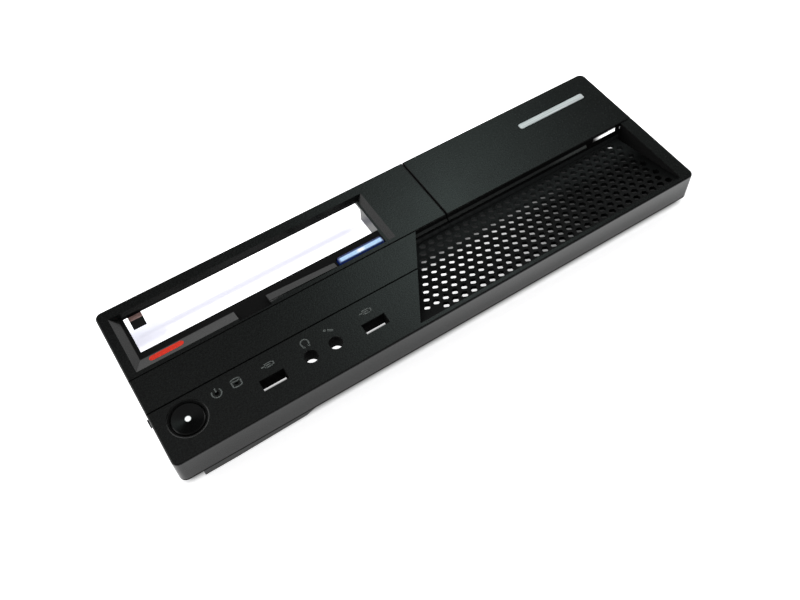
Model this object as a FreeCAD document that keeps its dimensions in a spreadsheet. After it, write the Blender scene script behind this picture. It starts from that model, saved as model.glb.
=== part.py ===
import FreeCAD, Part
import math
import os
import re
import Sketcher
from FreeCAD import Placement, Rotation, Vector

# Front bezel of a small desktop computer, lying on its back.
# X runs along the bezel, Y up its face and Z out of the face.
# The locating lips stand on Z = 0, and X = Y = 0 is the middle of the face.
doc = FreeCAD.newDocument("front_bezel")

# Driving dimensions, in millimetres and degrees
SIZES = {
    # Shell: plan, walls and front skin
    "face_width": 339.5,
    "face_height": 106,
    "wall_height": 19,
    "wall": 2.2,
    "face_skin": 2.4,
    "corner_radius": 4,
    "edge_round": 1,
    # Locating lips that hang from the rim and enter the chassis
    "lip_depth": 6,
    "lip_inset": 0.6,
    "lip_thickness": 1.6,
    "lip_start": 11.75,
    "lip_length": 68,
    "lip_flat": 18,
    "lip_rise": 1.8,
    "lip_end": 8,
    "lip_gap": 2,
    "lip_margin": 13,
    "barb_width": 14,
    "barb_reach": 0.8,
    "barb_height": 3,
    # Side lugs and the finger notch in the right wall
    "lug_reach": 1,
    "lug_width": 4,
    "lug_height": 3,
    "lug_rise": 35,
    "lug_drop": 11,
    "notch_offset": 3.3,
    "notch_width": 28,
    "notch_drop": 9,
    # Seams between the shell and the two upper panels, and the rails under them
    "panel_height": 49.3,
    "panel_edge": 3.2,
    "panel_skin": 1.5,
    "seam_offset": 38.4,
    "seam_gap": 0.6,
    "seam_round": 0.4,
    "rail_width": 10,
    "rail_thickness": 2.2,
    "rail_ledge": 0.9,
    "hook_thickness": 1.4,
    "hook_width": 12,
    "hook_catch": 1.6,
    "hook_gap": 0.2,
    # Relief in the upper wall behind the drive slot
    "relief_left": 2,
    "relief_right": 10,
    "relief_drop": 10.5,
    # Decorative groove above the port band
    "groove_rise": 34.1,
    "groove_width": 0.9,
    "groove_depth": 0.7,
    # Ribs behind the middle band
    "rib_thickness": 1.2,
    "rib_height": 5,
    "rib_offset": 11.7,
    "rib_spacing": 40,
    # Slanted grille and the chute that carries it
    "grille_reach": 22.2,
    "grille_inset": 8.75,
    "grille_tilt": 12.45,
    "grille_sink": 1.2,
    "grille_plate": 2.2,
    "grille_pitch": 6.15,
    "grille_hole": 4,
    "grille_side_margin": 4.3,
    "grille_rim": 2.95,
    "grille_low_margin": 3.1,
    "grille_skip": 2,
    "grille_end_margin": 2.75,
    "grille_fit": 0.15,
    "chute_wall": 2,
    "ledge_width": 0.8,
    "ledge_thickness": 1.2,
    # Down-turned lips of the panels above the grille
    "brow_height": 7,
    "brow_thickness": 1.8,
    "brow_gap": 0.2,
    "window_inset": 1.5,
    "window_width": 19.5,
    "window_drop": 7.2,
    # Mouth of the optical drive
    "slot_inset": 12.8,
    "slot_length": 148.75,
    "slot_drop": 8,
    "slot_height": 26,
    "mouth_left_slope": 6.9,
    "mouth_right_slope": 4.9,
    "mouth_low_slope": 12,
    "mouth_high_slope": 1,
    "mouth_depth": 3,
    "mouth_floor": 2,
    "mouth_rim": 2,
    "mouth_ledge": 4,
    "mouth_left_ledge": 2.05,
    "mouth_right_ledge": 1.4,
    "shelf_rise": 5.8,
    "shelf_end": 0.4,
    "guide_thickness": 1.8,
    "guide_depth": 9,
    "guide_length": 20,
    "scoop_offset": 52.95,
    "scoop_width": 19.5,
    "scoop_drop": 1.7,
    # Stop block behind the slot and the pad on it
    "stop_offset": 2.65,
    "stop_width": 7.7,
    "stop_overlap": 3.3,
    "stop_height": 8.5,
    "pad_thickness": 0.8,
    # Eject button and its retainer
    "eject_offset": 1.5,
    "eject_length": 29.6,
    "eject_rise": 0.9,
    "eject_height": 5.8,
    "eject_drop": 0.8,
    "eject_round": 1.8,
    "eject_edge": 1.4,
    "eject_gap": 0.35,
    "eject_flange": 1.5,
    "flange_thickness": 1.3,
    "rest_gap": 0.1,
    "stem_radius": 2,
    "stem_reach": 3,
    "post_width": 3,
    "post_depth": 6.5,
    "post_gap": 1,
    "post_length": 8,
    "stake_radius": 1,
    "stake_head_radius": 1.8,
    "stake_head": 0.8,
    "stake_fit": 0.1,
    "retainer_thickness": 1.5,
    "retainer_margin": 0.8,
    # Power button, its lens and its retainer
    "power_inset": 17.15,
    "power_rise": 20.9,
    "power_radius": 9,
    "power_gap": 0.4,
    "power_dish_radius": 11,
    "power_dish_depth": 0.9,
    "power_flange": 1.2,
    "power_crown": 0.9,
    "power_edge": 0.6,
    "tube_wall": 1.5,
    "tube_depth": 12,
    "tube_gap": 0.3,
    "power_stem_radius": 3.2,
    "lens_radius": 1.75,
    "lens_fit": 0.05,
    "lens_rise": 0.3,
    "spigot_height": 1.5,
    "spigot_wall": 1.2,
    "spigot_fit": 0.1,
    # Springs
    "wire_radius": 0.35,
    "eject_coil_radius": 3.2,
    "power_coil_radius": 5.4,
    "coil_turns": 3,
    "coil_gap": 0.05,
    # Port holes with their collars
    "usb_width": 14.5,
    "usb_height": 6.8,
    "usb_inset": 64.15,
    "usb_spacing": 61.7,
    "usb_rise": 16.2,
    "audio_radius": 4,
    "audio_offset": 22.85,
    "audio_spacing": 15,
    "audio_rise": 17.8,
    "collar_wall": 1.2,
    "collar_depth": 10,
    # Indicator windows and their light pipe
    "pin_radius": 1,
    "pin_fit": 0.1,
    "pin_offset": 18.6,
    "pin_spacing": 11.25,
    "pin_rise": 25.5,
    "boss_wall": 1.1,
    "boss_depth": 6,
    "bridge_thickness": 1.6,
    "bridge_width": 5,
    # Blank badge strip let into the bay cover
    "badge_inset": 12.75,
    "badge_length": 50,
    "badge_drop": 14.6,
    "badge_height": 4.2,
    "badge_thickness": 0.7,
    "badge_recess": 0.4,
    "badge_fit": 0.15,
    "badge_round": 1.2,
}

# Places and levels that follow from the driving dimensions
PLACES = {
    "half_width": "face_width / 2",
    "half_height": "face_height / 2",
    "inner_x": "half_width - wall",
    "inner_y": "half_height - wall",
    "face": "lip_depth + wall_height",
    "skin_back": "face - face_skin",
    "panel_back": "face - panel_edge",
    "split_y": "half_height - panel_height",
    "panel_low": "split_y + seam_gap",
    "brow_foot": "face - brow_height",
    "brow_back": "panel_low + brow_thickness",
    "lip_x": "half_width - lip_inset",
    "lip_y": "half_height - lip_inset",
    "lip_left": "lip_start - half_width",
    "lip_right": "lip_left + lip_length",
    "lug_y": "lug_rise - half_height",
    "lug_z": "face - lug_drop",
    "notch_low": "split_y + notch_offset",
    "groove_y": "groove_rise - half_height",
    "rib_y": "split_y - rib_offset",
    # Drive mouth
    "slot_left": "slot_inset - half_width",
    "slot_right": "slot_left + slot_length",
    "slot_high": "half_height - slot_drop",
    "slot_low": "slot_high - slot_height",
    "mouth_left": "slot_left - mouth_left_slope",
    "mouth_right": "slot_right + mouth_right_slope",
    "mouth_low": "slot_low - mouth_low_slope",
    "mouth_high": "slot_high + mouth_high_slope",
    "mouth_back": "face - mouth_depth - mouth_floor",
    "ledge_low": "slot_low - mouth_ledge",
    "foot_left": "slot_left - mouth_left_ledge",
    "foot_right": "slot_right + mouth_right_ledge",
    "scoop_left": "slot_left + scoop_offset",
    "scoop_right": "scoop_left + scoop_width",
    "relief_end": "slot_right + relief_right",
    "upper_lip_left": "relief_end + lip_gap",
    "stop_left": "slot_left + stop_offset",
    "stop_low": "slot_high - stop_overlap",
    # Upright seam between the panels
    "seam_x": "slot_right + seam_offset",
    "surround_right": "seam_x - seam_gap / 2",
    "cover_left": "seam_x + seam_gap / 2",
    "rail_left": "seam_x - rail_width / 2",
    "rail_right": "seam_x + rail_width / 2",
    "rail_front": "brow_back + brow_gap",
    "rail_knee": "brow_foot - brow_gap",
    "rail_back": "panel_back - rail_thickness",
    "hook_y": "(rail_front + inner_y) / 2",
    "hook_top": "rail_back - hook_gap",
    # Grille
    "grille_left": "seam_x - grille_reach",
    "grille_right": "half_width - grille_inset",
    "grille_low": "grille_rim - half_height",
    "grille_run": "1 / (tan(60) * cos(grille_tilt))",
    "chute_side": "chute_wall / sin(60)",
    "window_right": "grille_right - window_inset",
    # Eject button
    "eject_right": "slot_right - eject_offset",
    "eject_left": "eject_right - eject_length",
    "eject_low": "mouth_low + eject_rise",
    "eject_high": "eject_low + eject_height",
    "eject_x": "eject_right - eject_length / 2",
    "eject_y": "eject_low + eject_height / 2",
    "eject_back": "mouth_back - rest_gap - flange_thickness",
    "post_left": "eject_left - eject_flange - post_gap - post_width / 2",
    "post_right": "eject_right + eject_flange + post_gap + post_width / 2",
    "post_foot": "mouth_back - post_length",
    "retainer_foot": "post_foot - retainer_thickness",
    # Power button
    "power_x": "power_inset - half_width",
    "power_y": "power_rise - half_height",
    "tube_inner": "power_radius + power_flange + tube_gap",
    "tube_outer": "tube_inner + tube_wall",
    "tube_foot": "face - tube_depth",
    "cap_foot": "tube_foot - retainer_thickness",
    "cap_bore": "power_stem_radius + power_gap",
    "spigot": "tube_inner - spigot_fit",
    "power_bore": "lens_radius + lens_fit",
    "power_top": "skin_back - rest_gap",
    "power_back": "power_top - flange_thickness",
    "power_foot": "cap_foot - stem_reach",
    # Ports and indicators
    "usb_left_x": "usb_inset - half_width",
    "usb_right_x": "usb_left_x + usb_spacing",
    "usb_y": "usb_rise - half_height",
    "audio_left_x": "usb_left_x + audio_offset",
    "audio_right_x": "audio_left_x + audio_spacing",
    "audio_y": "audio_rise - half_height",
    "collar_foot": "face - collar_depth",
    "pin_left_x": "power_x + pin_offset",
    "pin_right_x": "pin_left_x + pin_spacing",
    "pin_y": "pin_rise - half_height",
    "boss_foot": "face - boss_depth",
    # Badge
    "badge_right": "half_width - badge_inset",
    "badge_left": "badge_right - badge_length",
    "badge_high": "half_height - badge_drop",
    "badge_low": "badge_high - badge_height",
}

sheet = doc.addObject("Spreadsheet::Sheet", "Size")
for row, (name, value) in enumerate(SIZES.items(), start=1):
    sheet.set(f"A{row}", name)
    sheet.set(f"B{row}", str(value))
    sheet.setAlias(f"B{row}", name)
doc.recompute()

WORD = re.compile(r"[a-z]\w*")
TOUCH = 1e-4


def bound(formula):
    """Formula of named sizes and places, written as an expression of the document."""

    def meaning(word):
        name = word.group()
        if name in SIZES:
            return f"Size.{name}"
        if name in PLACES:
            return f"({bound(PLACES[name])})"
        return name

    return WORD.sub(meaning, formula)


def number(formula):
    """Present value of a formula of named sizes and places."""
    return float(sheet.evalExpression(bound(formula)))


def new_body(label):
    body = doc.addObject("PartDesign::Body", label)
    body.Label = label
    return body


def new_sketch(body, name, level, role="XY_Plane"):
    """Sketch on one of the body's origin planes, moved out to a level."""
    sketch = body.newObject("Sketcher::SketchObject", f"{body.Label}_{name}")
    plane = next(feature for feature in body.Origin.OriginFeatures if feature.Role == role)
    sketch.AttachmentSupport = [(plane, "")]
    sketch.MapMode = "FlatFace"
    sketch.setExpression("AttachmentOffset.Base.z", bound(level))
    return sketch


def bind(sketch, kind, formula, *places):
    """Dimension of a sketch, bound to a formula."""
    index = sketch.addConstraint(Sketcher.Constraint(kind, *places, number(formula)))
    sketch.setExpression(f"Constraints[{index}]", bound(formula))


def outline(sketch, corners):
    """Closed outline of straight sides with every corner bound to its place."""
    first = sketch.GeometryCount
    points = [Vector(number(x), number(y), 0) for x, y in corners]
    for start, end in zip(points, points[1:] + points[:1]):
        sketch.addGeometry(Part.LineSegment(start, end), False)
    for i, (x, y) in enumerate(corners):
        following = first + (i + 1) % len(corners)
        sketch.addConstraint(Sketcher.Constraint("Coincident", first + i, 2, following, 1))
        bind(sketch, "DistanceX", x, -1, 1, first + i, 1)
        bind(sketch, "DistanceY", y, -1, 1, first + i, 1)


def frame(sketch, left, right, low, high):
    outline(sketch, [(left, low), (right, low), (right, high), (left, high)])


def disc(sketch, x, y, radius):
    centre = Vector(number(x), number(y), 0)
    circle = sketch.addGeometry(Part.Circle(centre, Vector(0, 0, 1), number(radius)), False)
    bind(sketch, "DistanceX", x, -1, 1, circle, 3)
    bind(sketch, "DistanceY", y, -1, 1, circle, 3)
    bind(sketch, "Radius", radius, circle)


def pad(body, sketch, length):
    feature = body.newObject("PartDesign::Pad", f"{sketch.Name}_pad")
    feature.Profile = (sketch, [""])
    feature.setExpression("Length", bound(length))
    doc.recompute()


def pocket(body, sketch, depth, reverse=False):
    before = body.Shape.Volume
    feature = body.newObject("PartDesign::Pocket", f"{sketch.Name}_cut")
    feature.Profile = (sketch, [""])
    feature.Reversed = reverse
    feature.setExpression("Length", bound(depth))
    doc.recompute()
    if body.Shape.Volume > before - TOUCH:
        raise ValueError(f"{feature.Name} cuts nothing")


def loft(body, kind, sketch, section):
    """Straight-sided loft between two outlines, added or cut away."""
    feature = body.newObject(f"PartDesign::{kind}Loft", f"{sketch.Name}_loft")
    feature.Profile = (sketch, [""])
    feature.Sections = [(section, [""])]
    feature.Ruled = True
    doc.recompute()


def turn(body, sketch):
    """Full turn of a profile about the upright axis of its sketch."""
    feature = body.newObject("PartDesign::Revolution", f"{sketch.Name}_turn")
    feature.Profile = (sketch, [""])
    feature.ReferenceAxis = (sketch, ["V_Axis"])
    feature.Angle = 360
    doc.recompute()


def round_edges(body, name, radius, chosen):
    """Fillet of the body's edges that the test accepts."""
    base = body.Tip
    names = [f"Edge{i}" for i, edge in enumerate(base.Shape.Edges, start=1) if chosen(edge)]
    feature = body.newObject("PartDesign::Fillet", f"{body.Label}_{name}")
    feature.Base = (base, names)
    feature.setExpression("Radius", bound(radius))
    doc.recompute()


def near(value, formula):
    return abs(value - number(formula)) < TOUCH


def upright(edge):
    return abs(edge.tangentAt(edge.FirstParameter).z) > 0.9


def flat_at(level):
    """Test for an edge that lies at a level."""
    return lambda edge: all(near(v.Z, level) for v in edge.Vertexes)


def outer_corner(side):
    """Test for the upright edge at a panel's outer upper corner."""
    return lambda edge: all(near(v.X, side) and near(v.Y, "half_height") for v in edge.Vertexes)


def outer_rim(edge):
    """Test for an edge of the front face on the bezel's outer outline, corner arcs included."""
    middle = edge.valueAt((edge.FirstParameter + edge.LastParameter) / 2)
    beyond = max(abs(middle.x) - number("half_width"), abs(middle.y) - number("half_height"))
    arc_depth = number("corner_radius") * (1 - math.sqrt(0.5))
    return flat_at("face")(edge) and beyond > -arc_depth - TOUCH


def seam_edge(side):
    """Test for an edge of the front face along a panel's upright seam or its lower edge."""

    def chosen(edge):
        beside = all(near(v.X, side) for v in edge.Vertexes)
        below = all(near(v.Y, "panel_low") for v in edge.Vertexes)
        return flat_at("face")(edge) and (beside or below)

    return chosen


# Bezel shell: one moulding with the rim, the walls and the lower half of the face
shell = new_body("bezel_shell")
block = new_sketch(shell, "block", "lip_depth")
frame(block, "-half_width", "half_width", "-half_height", "half_height")
pad(shell, block, "wall_height")
round_edges(shell, "corners", "corner_radius", upright)
round_edges(shell, "rim", "edge_round", flat_at("face"))
cavity = new_sketch(shell, "cavity", "lip_depth")
frame(cavity, "-inner_x", "inner_x", "-inner_y", "inner_y")
pocket(shell, cavity, "wall_height - face_skin", reverse=True)


# Chute: the walls of the slanted recess that carries the grille
def grille_outline(inset, low, high):
    """Plan outline of the grille's recess, moved inwards, between two heights."""
    left = f"grille_left + ({inset}) / sin(60)"
    right = f"grille_right - ({inset})"
    return [
        (f"{left} - (split_y - ({low})) * grille_run", low),
        (right, low),
        (right, high),
        (f"{left} - (split_y - ({high})) * grille_run", high),
    ]


def slanted_sketch(body, name, drop, corners):
    """Plan outline drawn on the grille's slant, at a drop under the grille's face."""
    sketch = new_sketch(body, name, f"face - grille_sink - ({drop}) / cos(grille_tilt)")
    sketch.AttachmentOffset = Placement(Vector(), Rotation(Vector(1, 0, 0), -number("grille_tilt")))
    sketch.setExpression("AttachmentOffset.Base.y", bound("grille_low"))
    sketch.setExpression("AttachmentOffset.Rotation.Angle", bound("-grille_tilt"))
    outline(sketch, [(x, f"({y} - grille_low) / cos(grille_tilt)") for x, y in corners])
    return sketch


chute_corners = grille_outline("-chute_wall", "grille_low - grille_rim / 2", "split_y + chute_wall")
chute_top = new_sketch(shell, "chute_top", "skin_back")
outline(chute_top, chute_corners)
chute_foot = slanted_sketch(shell, "chute_foot", "grille_plate + ledge_thickness", chute_corners)
loft(shell, "Additive", chute_top, chute_foot)
recess_corners = grille_outline("0", "grille_low", "split_y")
recess_top = new_sketch(shell, "recess_top", "face")
outline(recess_top, recess_corners)
recess_seat = slanted_sketch(shell, "recess_seat", "grille_plate", recess_corners)
loft(shell, "Subtractive", recess_top, recess_seat)
ledge = new_sketch(shell, "ledge", "face")
outline(ledge, grille_outline("ledge_width", "grille_low + ledge_width", "split_y - ledge_width"))
pocket(shell, ledge, "face")

# Upper half of the face: cut down to the level where the two panels rest
upper = new_sketch(shell, "upper", "face")
frame(upper, "-half_width - wall", "half_width + wall", "split_y", "half_height + wall")
pocket(shell, upper, "panel_edge")
brow_room = new_sketch(shell, "brow_room", "panel_back")
frame(
    brow_room,
    "grille_left - chute_side - seam_gap",
    "grille_right + chute_wall + seam_gap",
    "split_y",
    "brow_back + seam_gap",
)
pocket(shell, brow_room, "brow_height + brow_gap - panel_edge")

# Rails under the seams: one along the split, one under the upright seam
split_rail = new_sketch(shell, "split_rail", "-inner_x - wall / 2", "YZ_Plane")
outline(
    split_rail,
    [
        ("split_y - rail_thickness", "skin_back + face_skin / 2"),
        ("split_y", "skin_back + face_skin / 2"),
        ("split_y", "panel_back"),
        ("split_y + rail_ledge", "panel_back"),
        ("split_y + rail_ledge", "rail_back"),
        ("split_y - rail_thickness", "rail_back"),
    ],
)
pad(shell, split_rail, "inner_x + wall / 2 + grille_left - chute_side - seam_gap")
seam_rail = new_sketch(shell, "seam_rail", "rail_left", "YZ_Plane")
outline(
    seam_rail,
    [
        ("rail_front", "panel_back"),
        ("inner_y + wall / 2", "panel_back"),
        ("inner_y + wall / 2", "rail_back"),
        ("rail_front + 2 * rail_thickness", "rail_back"),
        ("rail_front + rail_thickness", "rail_knee - rail_thickness"),
        ("split_y + chute_wall / 2", "rail_knee - rail_thickness"),
        ("split_y + chute_wall / 2", "rail_knee"),
        ("rail_front", "rail_knee"),
    ],
)
pad(shell, seam_rail, "rail_width")

# Ribs that stiffen the middle band
long_rib = new_sketch(shell, "long_rib", "skin_back - rib_height")
frame(
    long_rib,
    "-inner_x - wall / 2",
    "grille_left - chute_side / 2 - (split_y - rib_y + rib_thickness / 2) * grille_run",
    "rib_y - rib_thickness / 2",
    "rib_y + rib_thickness / 2",
)
pad(shell, long_rib, "rib_height + face_skin / 2")
for step in (1, 2, 3):
    cross_rib = new_sketch(shell, f"cross_rib_{step}", "skin_back - rib_height")
    left = f"{step} * rib_spacing - inner_x - rib_thickness / 2"
    frame(cross_rib, left, f"{left} + rib_thickness", "groove_y", "split_y - rail_thickness / 2")
    pad(shell, cross_rib, "rib_height + face_skin / 2")


# Port holes: rectangular and round openings, each with a collar behind
def port_outlines(sketch, grow):
    width = f"(usb_width / 2 + {grow})"
    height = f"(usb_height / 2 + {grow})"
    for x in ("usb_left_x", "usb_right_x"):
        frame(sketch, f"{x} - {width}", f"{x} + {width}", f"usb_y - {height}", f"usb_y + {height}")
    for x in ("audio_left_x", "audio_right_x"):
        disc(sketch, x, "audio_y", f"audio_radius + {grow}")


collars = new_sketch(shell, "collars", "collar_foot")
port_outlines(collars, "collar_wall")
pad(shell, collars, "collar_depth - face_skin / 2")
ports = new_sketch(shell, "ports", "face")
port_outlines(ports, "0")
pocket(shell, ports, "collar_depth")

# Guide tube and dished mouth of the power button
tube = new_sketch(shell, "tube", "tube_foot")
disc(tube, "power_x", "power_y", "tube_outer")
pad(shell, tube, "tube_depth - face_skin / 2")
tube_bore = new_sketch(shell, "tube_bore", "tube_foot")
disc(tube_bore, "power_x", "power_y", "tube_inner")
pocket(shell, tube_bore, "tube_depth - face_skin", reverse=True)
power_hole = new_sketch(shell, "power_hole", "face")
disc(power_hole, "power_x", "power_y", "power_radius + power_gap")
pocket(shell, power_hole, "face_skin")
dish = new_sketch(shell, "dish", "face")
disc(dish, "power_x", "power_y", "power_dish_radius")
dish_foot = new_sketch(shell, "dish_foot", "face - power_dish_depth")
disc(dish_foot, "power_x", "power_y", "power_radius + power_gap")
loft(shell, "Subtractive", dish, dish_foot)

# Bosses and holes of the two indicator windows
PINS = ("pin_left_x", "pin_right_x")
bosses = new_sketch(shell, "bosses", "boss_foot")
pin_holes = new_sketch(shell, "pin_holes", "face")
for x in PINS:
    disc(bosses, x, "pin_y", "pin_radius + pin_fit + boss_wall")
    disc(pin_holes, x, "pin_y", "pin_radius + pin_fit")
pad(shell, bosses, "boss_depth - face_skin / 2")
pocket(shell, pin_holes, "boss_depth")

# Groove across the face, from the left edge to the grille
groove = new_sketch(shell, "groove", "face")
frame(
    groove,
    "-half_width - wall",
    "grille_left - (split_y - groove_y) * grille_run + groove_width",
    "groove_y - groove_width / 2",
    "groove_y + groove_width / 2",
)
pocket(shell, groove, "groove_depth")

# Locating lips under the rim: a short lower one that runs out to the right, and three plain ones
lower_lip = new_sketch(shell, "lower_lip", "lip_y - lip_thickness", "XZ_Plane")
outline(
    lower_lip,
    [
        ("lip_left", "0"),
        ("lip_left + lip_flat", "0"),
        ("lip_right - lip_end", "lip_rise"),
        ("lip_right", "lip_depth"),
        ("lip_right", "lip_depth + wall / 2"),
        ("lip_left", "lip_depth + wall / 2"),
    ],
)
pad(shell, lower_lip, "lip_thickness")
lips = new_sketch(shell, "lips", "0")
frame(lips, "upper_lip_left", "-lip_left", "lip_y - lip_thickness", "lip_y")
frame(lips, "-lip_x", "lip_thickness - lip_x", "lip_margin - half_height", "half_height - lip_margin")
frame(lips, "lip_x - lip_thickness", "lip_x", "lip_margin - half_height", "split_y")
pad(shell, lips, "lip_depth + wall / 2")

# Snap barbs on the inner faces of the lower and the upper lip
BARBS = (
    ("low", "-", "lip_left + barb_width / 2"),
    ("high_left", "", "upper_lip_left + barb_width"),
    ("high_right", "", "-lip_left - 2 * barb_width"),
)
for name, side, left in BARBS:
    barb = new_sketch(shell, f"barb_{name}", left, "YZ_Plane")
    root = f"{side}(lip_y - lip_thickness / 2)"
    inner = f"{side}(lip_y - lip_thickness)"
    tip = f"{side}(lip_y - lip_thickness - barb_reach)"
    outline(barb, [(root, "lip_inset"), (inner, "lip_inset"), (tip, "barb_height"), (root, "barb_height")])
    pad(shell, barb, "barb_width")

# Lugs on the side walls
lugs = new_sketch(shell, "lugs", "lug_z - lug_height / 2")
for side in ("-", ""):
    root = f"{side}(half_width - wall / 2)"
    end = f"{side}(half_width + lug_reach)"
    frame(lugs, root, end, "lug_y - lug_width / 2", "lug_y + lug_width / 2")
pad(shell, lugs, "lug_height")

# Finger notch in the right wall
finger_notch = new_sketch(shell, "finger_notch", "inner_x - wall", "YZ_Plane")
frame(finger_notch, "notch_low", "notch_low + notch_width", "lip_depth - wall", "face - notch_drop")
pocket(shell, finger_notch, "3 * wall", reverse=True)

# Relief in the upper wall, which leaves the way behind the drive slot open
relief = new_sketch(shell, "relief", "wall - inner_y", "XZ_Plane")
frame(relief, "slot_left - relief_left", "relief_end", "lip_depth - wall", "face - relief_drop")
pocket(shell, relief, "3 * wall")

# Drive surround: upper left panel with the bevelled mouth of the optical drive
surround = new_body("drive_surround")
surround_plan = new_sketch(surround, "plan", "panel_back")
frame(surround_plan, "-half_width", "surround_right", "panel_low", "half_height")
pad(surround, surround_plan, "panel_edge")
round_edges(surround, "corner", "corner_radius", outer_corner("-half_width"))
round_edges(surround, "rim", "edge_round", outer_rim)
round_edges(surround, "seams", "seam_round", seam_edge("surround_right"))
mouth_block = new_sketch(surround, "mouth_block", "mouth_back")
frame(
    mouth_block,
    "mouth_left - mouth_rim",
    "mouth_right + mouth_rim",
    "mouth_low - mouth_rim",
    "mouth_high + mouth_rim",
)
pad(surround, mouth_block, "mouth_depth + mouth_floor - panel_edge / 2")
mouth = new_sketch(surround, "mouth", "face")
frame(mouth, "mouth_left", "mouth_right", "mouth_low", "mouth_high")
mouth_foot = new_sketch(surround, "mouth_foot", "face - mouth_depth")
frame(mouth_foot, "foot_left", "foot_right", "ledge_low", "slot_high")
loft(surround, "Subtractive", mouth, mouth_foot)
slot = new_sketch(surround, "slot", "face - mouth_depth")
frame(slot, "slot_left", "slot_right", "slot_low", "slot_high")
pocket(surround, slot, "mouth_floor")
scoop = new_sketch(surround, "scoop", "face")
frame(scoop, "scoop_left", "scoop_right", "mouth_low - scoop_drop", "ledge_low")
pocket(surround, scoop, "mouth_depth")


def shelf_corners(right, start, end):
    """Outline of the shelf right of the scoop, given its right side and its lower edge at both ends."""
    return [
        ("scoop_right", start),
        ("eject_left - eject_gap", end),
        (right, end),
        (right, "slot_low"),
        ("scoop_right", "slot_low"),
    ]


# Shelf: right of the scoop the lower bevel narrows to nothing at the eject button
shelf = new_sketch(surround, "shelf", "face")
outline(shelf, shelf_corners("mouth_right", "mouth_low", "mouth_low"))
shelf_foot = new_sketch(surround, "shelf_foot", "face - mouth_depth")
outline(shelf_foot, shelf_corners("foot_right", "mouth_low + shelf_rise", "mouth_low + shelf_end"))
loft(surround, "Subtractive", shelf, shelf_foot)
guides = new_sketch(surround, "guides", "mouth_back - guide_depth")
frame(guides, "slot_left - guide_thickness", "slot_left", "slot_low", "slot_low + guide_length")
frame(guides, "slot_right", "slot_right + guide_thickness", "slot_low", "slot_low + guide_length")
pad(surround, guides, "guide_depth + mouth_floor / 2")
stop = new_sketch(surround, "stop", "mouth_back - stop_height")
frame(stop, "stop_left", "stop_left + stop_width", "stop_low", "mouth_high + mouth_rim")
pad(surround, stop, "stop_height")
surround_brow = new_sketch(surround, "brow", "brow_foot")
frame(surround_brow, "grille_left", "surround_right", "panel_low", "brow_back")
pad(surround, surround_brow, "brow_height - panel_edge / 2")


# Snap hooks of the panels, which catch under the rail of the upright seam
def snap_hook(body, side, wall_place, catch_place, root):
    """Hook on the back of a panel: a wall beside the rail and a catch under it."""
    hook_wall = new_sketch(body, "hook_wall", "hook_top - hook_thickness")
    frame(hook_wall, side, wall_place, "hook_y - hook_width / 2", "hook_y + hook_width / 2")
    pad(body, hook_wall, f"{root} - hook_top + hook_thickness")
    hook_catch = new_sketch(body, "hook_catch", "hook_top - hook_thickness")
    frame(hook_catch, wall_place, catch_place, "hook_y - hook_width / 2", "hook_y + hook_width / 2")
    pad(body, hook_catch, "hook_thickness")


snap_hook(
    surround,
    "rail_left - hook_gap",
    "rail_left - hook_gap - hook_thickness",
    "rail_left + hook_catch",
    "(panel_back + panel_edge / 2)",
)

# Opening for the eject button and the posts of its retainer
eject_hole = new_sketch(surround, "eject_hole", "face")
frame(
    eject_hole,
    "eject_left - eject_gap",
    "eject_right + eject_gap",
    "eject_low - eject_gap",
    "eject_high + eject_gap",
)
pocket(surround, eject_hole, "mouth_depth + mouth_floor")
POSTS = ("post_left", "post_right")
posts = new_sketch(surround, "posts", "post_foot")
stakes = new_sketch(surround, "stakes", "retainer_foot - stake_head")
stake_heads = new_sketch(surround, "stake_heads", "retainer_foot - stake_head")
for x in POSTS:
    frame(
        posts,
        f"{x} - post_width / 2",
        f"{x} + post_width / 2",
        "eject_y - post_depth / 2",
        "eject_y + post_depth / 2",
    )
    disc(stakes, x, "eject_y", "stake_radius")
    disc(stake_heads, x, "eject_y", "stake_head_radius")
pad(surround, posts, "post_length + mouth_floor / 2")
pad(surround, stakes, "stake_head + retainer_thickness + post_length / 2")
pad(surround, stake_heads, "stake_head")

# Pad on the stop block
stop_pad = new_body("drive_stop_pad")
pad_plan = new_sketch(stop_pad, "plan", "mouth_back")
frame(pad_plan, "stop_left", "stop_left + stop_width", "stop_low", "slot_high - pad_thickness")
pad(stop_pad, pad_plan, "pad_thickness")

# Bay cover: upper right blank with a down-turned lower lip
cover = new_body("bay_cover")
cover_plan = new_sketch(cover, "plan", "panel_back")
frame(cover_plan, "cover_left", "half_width", "panel_low", "half_height")
pad(cover, cover_plan, "panel_edge")
round_edges(cover, "corner", "corner_radius", outer_corner("half_width"))
round_edges(cover, "rim", "edge_round", outer_rim)
round_edges(cover, "seams", "seam_round", seam_edge("cover_left"))
cover_hollow = new_sketch(cover, "hollow", "panel_back")
frame(cover_hollow, "cover_left + wall", "inner_x - wall", "brow_back", "inner_y - wall")
pocket(cover, cover_hollow, "panel_edge - panel_skin", reverse=True)
cover_brow = new_sketch(cover, "brow", "brow_foot")
frame(cover_brow, "cover_left", "grille_right", "panel_low", "brow_back")
pad(cover, cover_brow, "brow_height - panel_skin / 2")
window = new_sketch(cover, "window", "seam_gap / 2 - panel_low", "XZ_Plane")
frame(window, "window_right - window_width", "window_right", "face - window_drop", "face - panel_skin")
pocket(cover, window, "brow_thickness + seam_gap")
snap_hook(
    cover,
    "rail_right + hook_gap",
    "rail_right + hook_gap + hook_thickness",
    "rail_right - hook_catch",
    "(face - panel_skin / 2)",
)
badge_seat = new_sketch(cover, "badge_seat", "face")
frame(
    badge_seat,
    "badge_left - badge_fit",
    "badge_right + badge_fit",
    "badge_low - badge_fit",
    "badge_high + badge_fit",
)
pocket(cover, badge_seat, "badge_recess")

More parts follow.
